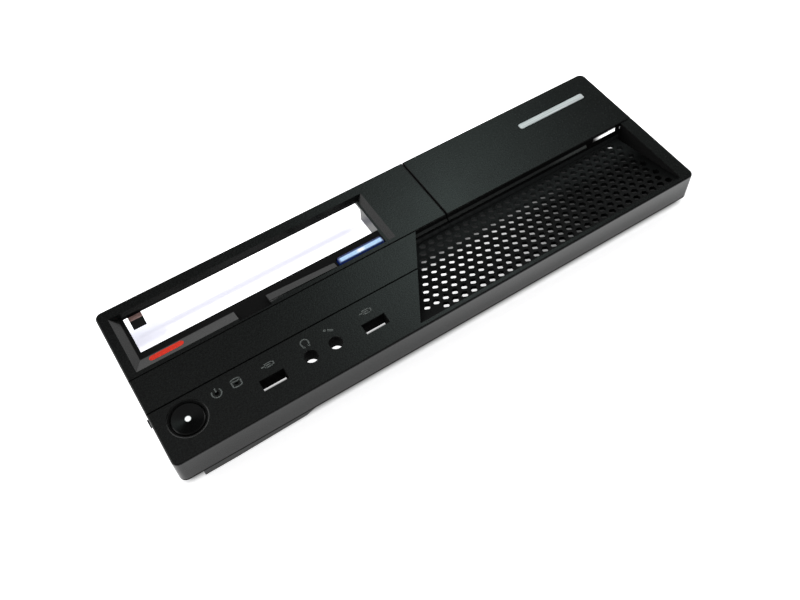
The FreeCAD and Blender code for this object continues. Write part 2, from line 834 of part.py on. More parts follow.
# Badge strip: blank bar with rounded ends
badge = new_body("badge_strip")
badge_plan = new_sketch(badge, "plan", "face - badge_recess")
frame(badge_plan, "badge_left", "badge_right", "badge_low", "badge_high")
pad(badge, badge_plan, "badge_thickness")
round_edges(badge, "ends", "badge_round", upright)

# Grille panel: plate with a staggered field of six-sided holes, clipped to its slanted outline
sixty = math.radians(60)
tilt = math.radians(number("grille_tilt"))
plate = number("grille_plate")
fit = number("grille_fit")
lean = plate * math.sin(tilt)
slope_length = number("(split_y - grille_low) / cos(grille_tilt)")
plate_high = slope_length - fit - lean
plate_right = number("grille_right") - fit
slant_foot = number("grille_left - (split_y - grille_low) * grille_run")


def slanted_edge(y, inset):
    """Left edge of the recess at a height up the slope, moved inwards."""
    return slant_foot + y / math.tan(sixty) + inset / math.sin(sixty)


def polygon_wire(points):
    return Part.makePolygon([Vector(x, y, 0) for x, y in points + points[:1]])


def hexagon(x, y, radius):
    """Outline of one hole, run clockwise, with a corner at its top."""
    angles = [math.radians(30 - 60 * k) for k in range(6)]
    return polygon_wire([(x + radius * math.cos(a), y + radius * math.sin(a)) for a in angles])


edge_inset = fit + lean * math.cos(sixty)
wires = [
    polygon_wire(
        [
            (slanted_edge(fit, edge_inset), fit),
            (plate_right, fit),
            (plate_right, plate_high),
            (slanted_edge(plate_high, edge_inset), plate_high),
        ]
    )
]
pitch = number("grille_pitch")
end_margin = number("grille_end_margin")
hole_radius = number("grille_hole") / 2 / math.cos(sixty / 2)
y = number("grille_low_margin")
skip = number("grille_skip")
while y < plate_high - end_margin:
    x = slanted_edge(y, number("grille_side_margin")) + skip * pitch
    skip = 0
    while x < number("grille_right") - end_margin:
        wires.append(hexagon(x, y, hole_radius))
        x += pitch
    y += pitch * math.sin(sixty)
grille = doc.addObject("Part::Feature", "grille_panel")
grille.Label = "grille_panel"
grille.Shape = Part.Face(wires).extrude(Vector(0, 0, plate))
seat_level = number("face - grille_sink - grille_plate / cos(grille_tilt)")
grille_seat = Vector(0, number("grille_low"), seat_level)
grille.Placement = Placement(grille_seat, Rotation(Vector(1, 0, 0), -number("grille_tilt")))

# Eject button: blue bar with a stop flange and a stem that pushes the drive's own button
eject = new_body("eject_button")
eject_bar = new_sketch(eject, "bar", "eject_back")
frame(eject_bar, "eject_left", "eject_right", "eject_low", "eject_high")
pad(eject, eject_bar, "face - eject_drop - eject_back")
round_edges(eject, "ends", "eject_round", upright)
round_edges(eject, "top", "eject_edge", flat_at("face - eject_drop"))
eject_flange = new_sketch(eject, "flange", "eject_back")
frame(
    eject_flange,
    "eject_left - eject_flange",
    "eject_right + eject_flange",
    "eject_low - eject_flange",
    "eject_high + eject_flange",
)
pad(eject, eject_flange, "flange_thickness")
eject_stem = new_sketch(eject, "stem", "retainer_foot - stem_reach")
disc(eject_stem, "eject_x", "eject_y", "stem_radius")
pad(eject, eject_stem, "eject_back + flange_thickness / 2 - retainer_foot + stem_reach")

# Eject retainer: plate staked to the posts, with a hole for the stem
retainer = new_body("eject_retainer")
retainer_plan = new_sketch(retainer, "plan", "retainer_foot")
frame(
    retainer_plan,
    "post_left - post_width / 2 - retainer_margin",
    "post_right + post_width / 2 + retainer_margin",
    "eject_y - post_depth / 2 - retainer_margin",
    "eject_y + post_depth / 2 + retainer_margin",
)
for x in POSTS:
    disc(retainer_plan, x, "eject_y", "stake_radius + stake_fit")
disc(retainer_plan, "eject_x", "eject_y", "stem_radius + eject_gap")
pad(retainer, retainer_plan, "retainer_thickness")


def place_on_power_axis(piece):
    piece.setExpression("Placement.Base.x", bound("power_x"))
    piece.setExpression("Placement.Base.y", bound("power_y"))


# Power button: dished cap with a stop flange and a hollow stem
power = new_body("power_button")
place_on_power_axis(power)
power_profile = new_sketch(power, "profile", "0", "XZ_Plane")
outline(
    power_profile,
    [
        ("power_bore", "power_foot"),
        ("power_stem_radius", "power_foot"),
        ("power_stem_radius", "power_back"),
        ("power_radius + power_flange", "power_back"),
        ("power_radius + power_flange", "power_top"),
        ("power_radius", "power_top"),
        ("power_radius", "face - power_edge"),
        ("power_radius - power_edge", "face"),
        ("power_bore", "face - power_crown"),
    ],
)
turn(power, power_profile)

# Power lens: clear light guide down the stem of the button
lens = new_body("power_lens")
lens_plan = new_sketch(lens, "plan", "power_foot")
disc(lens_plan, "power_x", "power_y", "lens_radius")
pad(lens, lens_plan, "face - power_crown + lens_rise - power_foot")

# Power retainer: cap with a spigot that closes the guide tube
power_cap = new_body("power_retainer")
place_on_power_axis(power_cap)
cap_profile = new_sketch(power_cap, "profile", "0", "XZ_Plane")
outline(
    cap_profile,
    [
        ("cap_bore", "cap_foot"),
        ("tube_outer", "cap_foot"),
        ("tube_outer", "tube_foot"),
        ("spigot", "tube_foot"),
        ("spigot", "tube_foot + spigot_height"),
        ("spigot - spigot_wall", "tube_foot + spigot_height"),
        ("spigot - spigot_wall", "tube_foot"),
        ("cap_bore", "tube_foot"),
    ],
)
turn(power_cap, cap_profile)


# Springs: coils of wire in short straight runs, with a closed turn at each end
RUNS_PER_TURN = 16
WIRE_SIDES = 6


def coil_spring(label, coil_radius, foot, head, axis_x, axis_y):
    wire = number("wire_radius")
    radius = number(coil_radius)
    turns = number("coil_turns")
    low = number(f"{foot} + wire_radius + coil_gap")
    high = number(f"{head} - wire_radius - coil_gap")
    closed = number("2 * wire_radius + coil_gap")
    points = []
    for run in range(round((turns + 2) * RUNS_PER_TURN) + 1):
        turn_count = run / RUNS_PER_TURN
        rise = low + closed + (turn_count - 1) / turns * (high - low - 2 * closed)
        if turn_count < 1:
            rise = low + closed * turn_count
        if turn_count > turns + 1:
            rise = high - closed * (turns + 2 - turn_count)
        angle = 2 * math.pi * turn_count
        points.append(Vector(radius * math.cos(angle), radius * math.sin(angle), rise))
    along = (points[1] - points[0]).normalize()
    across = (Vector(1, 0, 0) - along * along.x).normalize()
    upwards = along.cross(across)
    section = []
    for k in range(WIRE_SIDES + 1):
        angle = 2 * math.pi * (k + 0.5) / WIRE_SIDES
        section.append(points[0] + across * wire * math.cos(angle) + upwards * wire * math.sin(angle))
    spring = doc.addObject("Part::Feature", label)
    spring.Label = label
    spring.Shape = Part.makePolygon(points).makePipeShell([Part.makePolygon(section)], True, False, 1)
    spring.Placement = Placement(Vector(number(axis_x), number(axis_y), 0), Rotation())
    return spring


eject_spring = coil_spring("eject_spring", "eject_coil_radius", "post_foot", "eject_back", "eject_x", "eject_y")
power_spring = coil_spring("power_spring", "power_coil_radius", "tube_foot", "power_back", "power_x", "power_y")

# Light pipe: two clear pins joined by a bridge behind the bosses
pipe = new_body("light_pipe")
pins = new_sketch(pipe, "pins", "boss_foot")
for x in PINS:
    disc(pins, x, "pin_y", "pin_radius")
pad(pipe, pins, "boss_depth")
bridge = new_sketch(pipe, "bridge", "boss_foot - bridge_thickness")
frame(
    bridge,
    "pin_left_x - bridge_width / 2",
    "pin_right_x + bridge_width / 2",
    "pin_y - bridge_width / 2",
    "pin_y + bridge_width / 2",
)
pad(pipe, bridge, "bridge_thickness")

PIECES = [
    shell,
    surround,
    stop_pad,
    cover,
    badge,
    grille,
    eject,
    retainer,
    eject_spring,
    power,
    lens,
    power_spring,
    power_cap,
    pipe,
]

# Every object has to be sound before anything is written
doc.recompute()
for item in doc.Objects:
    if {"Invalid", "Error"} & set(item.State):
        raise ValueError(f"{item.Name} failed: {item.State}")
for piece in PIECES:
    if piece.Shape.isNull() or not piece.Shape.isValid() or len(piece.Shape.Solids) != 1:
        raise ValueError(f"{piece.Label} is not one sound solid")

os.makedirs("parts", exist_ok=True)
for piece in PIECES:
    piece.Shape.exportStep(f"parts/{piece.Label}.step")
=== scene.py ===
import math

import bpy
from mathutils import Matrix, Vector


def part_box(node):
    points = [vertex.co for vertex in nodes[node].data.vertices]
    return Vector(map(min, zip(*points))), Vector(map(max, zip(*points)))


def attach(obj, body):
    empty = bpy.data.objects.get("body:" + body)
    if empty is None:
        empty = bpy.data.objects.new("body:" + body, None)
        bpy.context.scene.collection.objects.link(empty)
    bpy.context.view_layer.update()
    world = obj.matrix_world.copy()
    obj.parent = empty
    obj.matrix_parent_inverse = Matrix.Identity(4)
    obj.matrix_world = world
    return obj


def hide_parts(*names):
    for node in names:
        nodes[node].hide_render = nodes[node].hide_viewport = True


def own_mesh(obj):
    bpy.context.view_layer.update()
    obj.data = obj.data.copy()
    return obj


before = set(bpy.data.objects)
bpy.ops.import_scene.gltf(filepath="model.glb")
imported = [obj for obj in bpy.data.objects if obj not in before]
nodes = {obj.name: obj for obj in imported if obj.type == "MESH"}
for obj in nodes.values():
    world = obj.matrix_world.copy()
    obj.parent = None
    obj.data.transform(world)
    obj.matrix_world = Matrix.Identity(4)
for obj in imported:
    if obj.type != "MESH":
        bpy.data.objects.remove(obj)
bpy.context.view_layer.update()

# Bezel shell: the main moulding of the front, with its walls, port band and grille recess.
# Black ABS, injection-moulded in a spark-eroded tool that leaves an even satin grain.
# Faces that point into holes come out of plain steel cores and stay matt, and painted shade makes them nearly
# black.
MM = 0.001
FACE = 25 * MM
ABS_IOR = 1.53
# The real grain is about 0.1 mm wide; it is drawn at 0.9 mm so that it shows in the render.
GRAIN = 0.9 * MM
PIT_DEPTH = 0.1 * MM
WEAR_PATCH = 60 * MM
# A soft box has four places on each axis, in mm: start and end of its rise, start and end of its fall.
WIDE = (-401, -400, 400, 401)
# Sockets that share a name are reached by their number: colours of a mix and vectors of a range.
MIX_FIRST, MIX_SECOND, MIX_RESULT = 6, 7, 2
RANGE_VECTOR, RANGE_START, RANGE_END = 6, 7, 8


def linear(code):
    """Linear colour, with alpha, of an sRGB hex value."""
    channels = [int(code[i : i + 2], 16) / 255 for i in (1, 3, 5)]
    return [c / 12.92 if c <= 0.04045 else ((c + 0.055) / 1.055) ** 2.4 for c in channels] + [1]


def add_node(tree, kind, settings=None):
    """Node of a tree: a setting is a property, a socket's value, or an output to link to the socket."""
    node = tree.nodes.new(kind)
    for name, value in (settings or {}).items():
        if isinstance(value, bpy.types.NodeSocket):
            tree.links.new(value, node.inputs[name])
        elif isinstance(name, str) and hasattr(node, name):
            setattr(node, name, value)
        else:
            node.inputs[name].default_value = value
    return node


def new_material(name, shader):
    """Material with one Principled shader and the Object coordinates that its patterns read."""
    material = bpy.data.materials.new(name)
    material.use_nodes = True
    tree = material.node_tree
    tree.nodes.clear()
    surface = add_node(tree, "ShaderNodeBsdfPrincipled", shader)
    add_node(tree, "ShaderNodeOutputMaterial", {"Surface": surface.outputs[0]})
    place = add_node(tree, "ShaderNodeTexCoord").outputs["Object"]
    return material, tree, surface.inputs, place


def mottle(tree, place, size, pale, deep):
    """Cloudy pattern with patches of a given size, between two colours: its colour and its height."""
    cloud = add_node(
        tree, "ShaderNodeTexNoise", {"Vector": place, "Scale": 1 / size, "Detail": 2, "Roughness": 0.6}
    ).outputs["Fac"]
    tone = add_node(tree, "ShaderNodeValToRGB", {"Fac": cloud})
    for element, position, code in zip(tone.color_ramp.elements, (0.3, 0.7), (deep, pale)):
        element.position = position
        element.color = linear(code)
    return tone.outputs["Color"], cloud


def soft_box(tree, place, x, y, z=WIDE):
    """Share of a soft box at each point: 1 inside, 0 outside."""
    rise_start, rise_end, fall_start, fall_end = ([c * MM for c in corner] for corner in zip(x, y, z))
    step = {"data_type": "FLOAT_VECTOR", "interpolation_type": "SMOOTHSTEP", RANGE_VECTOR: place}
    rise = add_node(
        tree, "ShaderNodeMapRange", {**step, RANGE_START: rise_start, RANGE_END: rise_end}
    ).outputs["Vector"]
    fall = add_node(
        tree, "ShaderNodeMapRange", {**step, RANGE_START: fall_start, RANGE_END: fall_end}
    ).outputs["Vector"]
    inside = add_node(tree, "ShaderNodeVectorMath", {"operation": "SUBTRACT", 0: rise, 1: fall})
    share_x, share_y, share_z = add_node(
        tree, "ShaderNodeSeparateXYZ", {"Vector": inside.outputs["Vector"]}
    ).outputs
    flat = add_node(tree, "ShaderNodeMath", {"operation": "MULTIPLY", 0: share_x, 1: share_y}).outputs[0]
    return add_node(tree, "ShaderNodeMath", {"operation": "MULTIPLY", 0: flat, 1: share_z}).outputs[0]


def moulded_abs(name, pale, deep, smooth, rough, relief, gloss_share, painted_light_patches=()):
    """ABS out of a grained tool: the pits break up the gloss, and patches set roughness and a tone of painted
    light and shade.
    """
    shader = {"IOR": ABS_IOR, "Specular IOR Level": gloss_share}
    material, tree, surface, place = new_material(name, shader)
    colour, pits = mottle(tree, place, GRAIN, pale, deep)
    wear = add_node(tree, "ShaderNodeTexNoise", {"Vector": place, "Scale": 1 / WEAR_PATCH, "Detail": 3})
    gloss = add_node(
        tree,
        "ShaderNodeMapRange",
        {"Value": wear.outputs["Fac"], "From Min": 0.3, "From Max": 0.7, "To Min": smooth, "To Max": rough},
    ).outputs["Result"]
    # Each patch sets its roughness and mixes in its tone of painted light and shade.
    for patch_roughness, patch_painted_tone, *box in painted_light_patches:
        patch_share = soft_box(tree, place, *box)
        gloss = add_node(
            tree, "ShaderNodeMix", {"Factor": patch_share, "A": gloss, "B": patch_roughness}
        ).outputs["Result"]
        colour = add_node(
            tree,
            "ShaderNodeMix",
            {"data_type": "RGBA", "Factor": patch_share, MIX_FIRST: colour, MIX_SECOND: linear(patch_painted_tone)},
        ).outputs[MIX_RESULT]
    bump = add_node(tree, "ShaderNodeBump", {"Height": pits, "Strength": relief, "Distance": PIT_DEPTH})
    tree.links.new(colour, surface["Base Color"])
    tree.links.new(gloss, surface["Roughness"])
    tree.links.new(bump.outputs["Normal"], surface["Normal"])
    return material


def finish_node(name, material):
    """Give a solid of the frame its finish."""
    for slot in nodes[name].material_slots:
        slot.material = material


# The grain's pits hold back more than half of the gloss of plain ABS and leave a soft, mottled black.
SATIN = {
    "pale": "#181a19",
    "deep": "#050505",
    "smooth": 0.18,
    "rough": 0.24,
    "relief": 0.34,
    "gloss_share": 0.18,
}
# Each patch has a roughness, a painted tone and a soft box. Painted light makes the wall at the back of the
# grille's recess paler than the other patches, and painted shadow gives the walls a dark line at their foot
# and over the lip.
# Painted shade: the faces inside the walls and holes are nearly black.
HOLLOWS_PAINTED_SHADE = (
    0.9,
    "#030303",
    (-168.55, -167.35, 167.35, 168.55),
    (-51.8, -50.6, 50.6, 51.8),
    (-2, -1, 24.5, 24.9),
)
# Painted shadow: a dark line in the crease where the lower wall's rim meets the lip.
LIP_GROOVE_PAINTED_SHADOW = (0.9, "#030303", (-158, -157, -91, -90), (-54, -53.5, -51, -50), (4.7, 5.2, 6.1, 6.5))
# Painted light: the back wall of the grille's recess is made paler.
RECESS_BACK_PAINTED_LIGHT = (0.6, "#3a3d3d", (-40, -39, 165, 166), (3.4, 3.8, 7.6, 8), (4, 5, 15.5, 16.5))
# Painted shadow: a dark line along the foot of the lower wall.
FOOT_PAINTED_SHADOW = (0.9, "#030303", WIDE, (-54, -53.5, -52, -51), (5, 5.4, 6.8, 7.6))
SHELL_PAINTED_LIGHT_AND_SHADE = [HOLLOWS_PAINTED_SHADE, LIP_GROOVE_PAINTED_SHADOW, RECESS_BACK_PAINTED_LIGHT, FOOT_PAINTED_SHADOW]
finish_node("bezel_shell", moulded_abs("satin_black_abs_shell", **SATIN, painted_light_patches=SHELL_PAINTED_LIGHT_AND_SHADE))


# Printed marks: the symbols above the ports and beside the power button.
# Grey ink, pad-printed onto the grained face in lines of even width.
def build_tree(name, inputs):
    """Empty node tree for geometry, with named inputs, and its input and output nodes."""
    tree = bpy.data.node_groups.new(name, "GeometryNodeTree")
    for label, kind in inputs:
        tree.interface.new_socket(label, in_out="INPUT", socket_type=kind)
    tree.interface.new_socket("Geometry", in_out="OUTPUT", socket_type="NodeSocketGeometry")
    return tree, add_node(tree, "NodeGroupInput").outputs, add_node(tree, "NodeGroupOutput").inputs


def add_mesh(name, points, edges, faces):
    """Object with a mesh of its own, in the scene."""
    mesh = bpy.data.meshes.new(name)
    mesh.from_pydata(points, edges, faces)
    piece = bpy.data.objects.new(name, mesh)
    bpy.context.collection.objects.link(piece)
    return piece


def grow(name, points, edges, tree, values):
    """Object whose plain mesh is what a node tree grows on a set of edges."""
    piece = add_mesh(name, points, edges, [])
    modifier = piece.modifiers.new(name, "NODES")
    modifier.node_group = tree
    for socket in tree.interface.items_tree:
        if socket.in_out == "INPUT" and socket.name in values:
            modifier[socket.identifier] = values[socket.name]
    grown = piece.evaluated_get(bpy.context.evaluated_depsgraph_get())
    plain = bpy.data.meshes.new_from_object(grown)
    piece.modifiers.remove(modifier)
    piece.data = plain
    return piece


def mottled(name, shader, size, pale, deep):
    """Material with an even finish and a cloudy colour."""
    material, tree, surface, place = new_material(name, shader)
    tree.links.new(mottle(tree, place, size, pale, deep)[0], surface["Base Color"])
    return material


def arc(x, y, radius_x, radius_y, start, end, count=20):
    """Points along part of an ellipse, from one angle in degrees to another."""
    angles = [math.radians(start + (end - start) * k / count) for k in range(count + 1)]
    return [(x + radius_x * math.cos(a), y + radius_y * math.sin(a)) for a in angles]


def boxed(x, y, width, height):
    """Closed rectangle about a middle."""
    w, h = width / 2, height / 2
    return [(x - w, y - h), (x + w, y - h), (x + w, y + h), (x - w, y + h), (x - w, y - h)]


line_tree, line_in, line_out = build_tree(
    "printed_line",
    [
        ("Path", "NodeSocketGeometry"),
        ("Line width", "NodeSocketFloat"),
        ("Film", "NodeSocketFloat"),
        ("Ink", "NodeSocketMaterial"),
    ],
)
line_path = add_node(line_tree, "GeometryNodeMeshToCurve", {"Mesh": line_in["Path"]}).outputs["Curve"]
line_level = add_node(
    line_tree, "GeometryNodeSetCurveNormal", {"mode": "Z_UP", "Curve": line_path}
).outputs["Curve"]
line_profile = add_node(
    line_tree,
    "GeometryNodeCurvePrimitiveQuadrilateral",
    {"Width": line_in["Line width"], "Height": line_in["Film"]},
).outputs["Curve"]
line_body = add_node(
    line_tree,
    "GeometryNodeCurveToMesh",
    {"Curve": line_level, "Profile Curve": line_profile, "Fill Caps": True},
).outputs["Mesh"]
line_real = add_node(line_tree, "GeometryNodeRealizeInstances", {"Geometry": line_body}).outputs["Geometry"]
line_inked = add_node(
    line_tree, "GeometryNodeSetMaterial", {"Geometry": line_real, "Material": line_in["Ink"]}
)
line_tree.links.new(line_inked.outputs["Geometry"], line_out["Geometry"])

# Ink lies as a dull skin on the grain, so it is even in tone and lets a little of the black through.
grey_ink = mottled(
    "grey_pad_print_ink", {"Roughness": 0.6, "Specular IOR Level": 0.2}, GRAIN, "#626765", "#4b504e"
)
# Strokes of each mark in mm about its middle, and the place of that middle on the face.
power_mark = [arc(0, 0, 2.6, 2.6, 138, 402), [(0, 0.6), (0, 3.2)]]
disk_mark = [
    arc(0, 1.7, 2.5, 0.9, 0, 360),
    arc(0, -1.7, 2.5, 0.9, 180, 360),
    [(-2.5, 1.7), (-2.5, -1.7)],
    [(2.5, 1.7), (2.5, -1.7)],
]
plug_mark = [boxed(0.6, 0, 3.6, 2.4), boxed(3, 0, 1.2, 1.4), [(1.8, 0), (-3.6, 0)]]
head_mark = [arc(0, 0.2, 2.2, 2.3, -58, 238), boxed(-1.5, -2, 0.7, 0.8), boxed(1.5, -2, 0.7, 0.8)]
voice_mark = [
    arc(-1.9, 1.1, 0.45, 0.45, 0, 360),
    [(-0.4, 0.75), (2.3, -0.9)],
    [(-0.7, 0.2), (2, -1.45)],
]
MARKS = [
    (power_mark, -134, -27.5),
    (disk_mark, -122.75, -27.5),
    (plug_mark, -104.6, -27.3),
    (head_mark, -81.8, -26.6),
    (voice_mark, -67.2, -26.6),
    (plug_mark, -44.9, -27.3),
]
INK_FILM = 0.04 * MM
LINE_WIDTH = 0.8 * MM
mark_points = []
mark_edges = []
for strokes, x, y in MARKS:
    for stroke in strokes:
        first = len(mark_points)
        mark_points += [((x + dx) * MM, (y + dy) * MM, FACE + INK_FILM / 2) for dx, dy in stroke]
        mark_edges += [(k, k + 1) for k in range(first, len(mark_points) - 1)]
marks = grow(
    "printed_marks",
    mark_points,
    mark_edges,
    line_tree,
    {"Line width": LINE_WIDTH, "Film": INK_FILM, "Ink": grey_ink},
)
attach(marks, "bezel")

# Light pipe: two pins in the indicator windows, joined by a bridge behind the face.
# Acrylic with a smoky tint, moulded in one piece and pressed into the shell's bosses.
# Unlit, it swallows the light and looks like a black dot.
ACRYLIC_IOR = 1.49
CLOUD = 1.5 * MM
smoked = mottled(
    "smoked_acrylic",
    {"IOR": ACRYLIC_IOR, "Roughness": 0.2, "Specular IOR Level": 0.02},
    CLOUD,
    "#070808",
    "#030303",
)
finish_node("light_pipe", smoked)

# Return springs: one behind the power button and one behind the eject button.
# Spring steel wire, cold-coiled, with a closed turn at each end that gives a flat seat.
WIRE = 0.35 * MM
WIRE_SIDES = 10
WIRE_STREAK = 0.5 * MM
OPEN_TURNS = 3
COIL_POINTS = 161
SEAT_GAP = 0.05 * MM
coil_tree, coil_in, coil_out = build_tree(
    "coiled_wire",
    [
        ("Coil radius", "NodeSocketFloat"),
        ("Wire radius", "NodeSocketFloat"),
        ("Turns", "NodeSocketFloat"),
        ("Closed rise", "NodeSocketFloat"),
        ("Open rise", "NodeSocketFloat"),
        ("Foot", "NodeSocketVector"),
        ("Steel", "NodeSocketMaterial"),
    ],
)
coil_line = add_node(coil_tree, "GeometryNodeCurvePrimitiveLine").outputs["Curve"]
coil_run = add_node(
    coil_tree, "GeometryNodeResampleCurve", {"Curve": coil_line, "Count": COIL_POINTS}
).outputs["Curve"]
# The wire rises slowly over its first and last turn and faster over the open turns between them.
coil_share = add_node(coil_tree, "GeometryNodeSplineParameter").outputs["Factor"]
turn_last = add_node(coil_tree, "ShaderNodeMath", {"operation": "ADD", 0: coil_in["Turns"], 1: 1}).outputs[0]
turn_all = add_node(coil_tree, "ShaderNodeMath", {"operation": "ADD", 0: coil_in["Turns"], 1: 2}).outputs[0]
turn_now = add_node(
    coil_tree, "ShaderNodeMath", {"operation": "MULTIPLY", 0: coil_share, 1: turn_all}
).outputs[0]
lower_rise = add_node(
    coil_tree, "ShaderNodeMapRange", {"Value": turn_now, "To Max": coil_in["Closed rise"]}
).outputs["Result"]
open_rise = add_node(
    coil_tree,
    "ShaderNodeMapRange",
    {"Value": turn_now, "From Min": 1, "From Max": turn_last, "To Max": coil_in["Open rise"]},
).outputs["Result"]
upper_rise = add_node(
    coil_tree,
    "ShaderNodeMapRange",
    {"Value": turn_now, "From Min": turn_last, "From Max": turn_all, "To Max": coil_in["Closed rise"]},
).outputs["Result"]
seat_rise = add_node(
    coil_tree, "ShaderNodeMath", {"operation": "ADD", 0: lower_rise, 1: upper_rise}
).outputs[0]
coil_rise = add_node(coil_tree, "ShaderNodeMath", {"operation": "ADD", 0: seat_rise, 1: open_rise}).outputs[0]
coil_angle = add_node(
    coil_tree, "ShaderNodeMath", {"operation": "MULTIPLY", 0: turn_now, 1: 2 * math.pi}
).outputs[0]
coil_cosine = add_node(coil_tree, "ShaderNodeMath", {"operation": "COSINE", 0: coil_angle}).outputs[0]
coil_sine = add_node(coil_tree, "ShaderNodeMath", {"operation": "SINE", 0: coil_angle}).outputs[0]
coil_ring = add_node(coil_tree, "ShaderNodeCombineXYZ", {"X": coil_cosine, "Y": coil_sine}).outputs["Vector"]
coil_round = add_node(
    coil_tree, "ShaderNodeVectorMath", {"operation": "SCALE", 0: coil_ring, "Scale": coil_in["Coil radius"]}
).outputs["Vector"]
coil_lift = add_node(coil_tree, "ShaderNodeCombineXYZ", {"Z": coil_rise}).outputs["Vector"]
coil_helix = add_node(
    coil_tree, "ShaderNodeVectorMath", {"operation": "ADD", 0: coil_round, 1: coil_lift}
).outputs["Vector"]
coil_place = add_node(
    coil_tree, "ShaderNodeVectorMath", {"operation": "ADD", 0: coil_helix, 1: coil_in["Foot"]}
).outputs["Vector"]
coil_path = add_node(
    coil_tree, "GeometryNodeSetPosition", {"Geometry": coil_run, "Position": coil_place}
).outputs["Geometry"]
coil_profile = add_node(
    coil_tree, "GeometryNodeCurvePrimitiveCircle", {"Resolution": WIRE_SIDES, "Radius": coil_in["Wire radius"]}
).outputs["Curve"]
coil_body = add_node(
    coil_tree,
    "GeometryNodeCurveToMesh",
    {"Curve": coil_path, "Profile Curve": coil_profile, "Fill Caps": True},
).outputs["Mesh"]
coil_smooth = add_node(coil_tree, "GeometryNodeSetShadeSmooth", {"Geometry": coil_body}).outputs["Geometry"]
coil_real = add_node(coil_tree, "GeometryNodeRealizeInstances", {"Geometry": coil_smooth}).outputs["Geometry"]
coil_steel = add_node(
    coil_tree, "GeometryNodeSetMaterial", {"Geometry": coil_real, "Material": coil_in["Steel"]}
)
coil_tree.links.new(coil_steel.outputs["Geometry"], coil_out["Geometry"])

# Drawn wire shows fine streaks and a bluish grey sheen.
steel = mottled(
    "drawn_spring_steel", {"Metallic": 1, "Roughness": 0.32}, WIRE_STREAK, "#c3c5c6", "#8f9193"
)


def coil_spring(node):
    """Round-wire spring in the place of a solid of the frame."""
    low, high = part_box(node)
    closed = 2 * WIRE + SEAT_GAP
    length = high.z - low.z
    spring = grow(
        f"{node}_wire",
        [],
        [],
        coil_tree,
        {
            "Coil radius": (high.x - low.x) / 2 - WIRE,
            "Wire radius": WIRE,
            "Turns": float(OPEN_TURNS),
            "Closed rise": closed,
            "Open rise": length - 2 * WIRE - 2 * closed,
            "Foot": ((low.x + high.x) / 2, (low.y + high.y) / 2, low.z + WIRE),
            "Steel": steel,
        },
    )
    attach(spring, "bezel")
    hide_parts(node)
    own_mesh(spring)


coil_spring("power_spring")
coil_spring("eject_spring")

# Power button: a dished cap on a hollow stem, with the cap that closes its guide tube.
# Black ABS, moulded in a polished tool; the tube's cap is matt and pressed in from behind.
# The polish gives a clean, deep black with a sharp glint at the rim.
polished_abs = moulded_abs(
    "polished_black_abs",
    pale="#080909",
    deep="#040404",
    smooth=0.16,
    rough=0.2,
    relief=0.03,
    gloss_share=0.14,
)
matt_abs = moulded_abs(
    "matt_black_abs",
    pale="#1c1d1d",
    deep="#121313",
    smooth=0.5,
    rough=0.62,
    relief=0.15,
    gloss_share=0.3,
)
finish_node("power_button", polished_abs)
finish_node("power_retainer", matt_abs)

# Power lens: the light guide down the middle of the button's stem.
# Acrylic with a little white in it, pressed into the stem's bore.
# Its end carries a painted glow, though nothing shines into it,
# and painted shade darkens its edge where it meets the bore.
# The painted glow is full out to the first radius and gives way to the painted shade by the second.
LENS_GLOW = 1.25 * MM
LENS_EDGE = 1.75 * MM
milky, milk_tree, milk_surface, milk_place = new_material(
    "milky_white_acrylic", {"IOR": ACRYLIC_IOR, "Roughness": 0.18, "Emission Strength": 0.6}
)
lens_low, lens_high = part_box("power_lens")
lens_middle = [-(lens_low.x + lens_high.x) / 2, -(lens_low.y + lens_high.y) / 2, 0]
lens_offset = add_node(
    milk_tree, "ShaderNodeMapping", {"Vector": milk_place, "Location": lens_middle, "Scale": (1, 1, 0)}
).outputs["Vector"]
lens_reach = add_node(
    milk_tree, "ShaderNodeVectorMath", {"operation": "LENGTH", 0: lens_offset}
).outputs["Value"]
lens_rim_shade = add_node(
    milk_tree, "ShaderNodeMapRange", {"Value": lens_reach, "From Min": LENS_GLOW, "From Max": LENS_EDGE}
).outputs["Result"]
lens_cloud = mottle(milk_tree, milk_place, CLOUD, "#f6f9f8", "#e3e9e8")[0]
lens_tone = add_node(
    milk_tree,
    "ShaderNodeMix",
    {"data_type": "RGBA", "Factor": lens_rim_shade, MIX_FIRST: lens_cloud, MIX_SECOND: linear("#141515")},
).outputs[MIX_RESULT]
milk_tree.links.new(lens_tone, milk_surface["Base Color"])
milk_tree.links.new(lens_tone, milk_surface["Emission Color"])
finish_node("power_lens", milky)

# Grille panel: the perforated plate, set at a slant in the shell's recess.
# Black ABS with a matt face, moulded with its holes and pressed onto the recess's ledge.
# It takes almost no light, so its holes stand out as bright dots; painted light makes its upper half a little
# paler.
PLATE_TOP_PAINTED_LIGHT = (0.65, "#343737", WIDE, (-22, 2, 30, 31))
grille_abs = moulded_abs(
    "grille_black_abs",
    pale="#0a0b0b",
    deep="#050606",
    smooth=0.6,
    rough=0.7,
    relief=0.1,
    gloss_share=0.06,
    painted_light_patches=[PLATE_TOP_PAINTED_LIGHT],
)
finish_node("grille_panel", grille_abs)

# Drive surround: the upper left panel with the bevelled mouth of the optical drive.
# Black ABS with the shell's grain, hooked to the shell's rail; the eject retainer is staked to it.
# Below the bevels, on the lip over the grille and along the seam the tool was left plain, so it is matt,
# and painted shade darkens these faces nearly to black.
MOUTH_FLOOR_PAINTED_SHADE = (0.9, "#030303", (-401, -400, -9, -8.4), WIDE, (-2, -1, 22.05, 22.3))
# Painted shade on the face of the lip over the grille.
BROW_PAINTED_SHADE = (0.9, "#050505", WIDE, (-60, -59, 4.6, 5.2), (-2, -1, 24, 24.5))
# Painted shade on the panels' edges at their seam.
SEAM_PAINTED_SHADE = (0.9, "#020202", (29, 29.6, 30.6, 31.2), (4, 4.2, 54, 55), (20, 21, 26, 27))
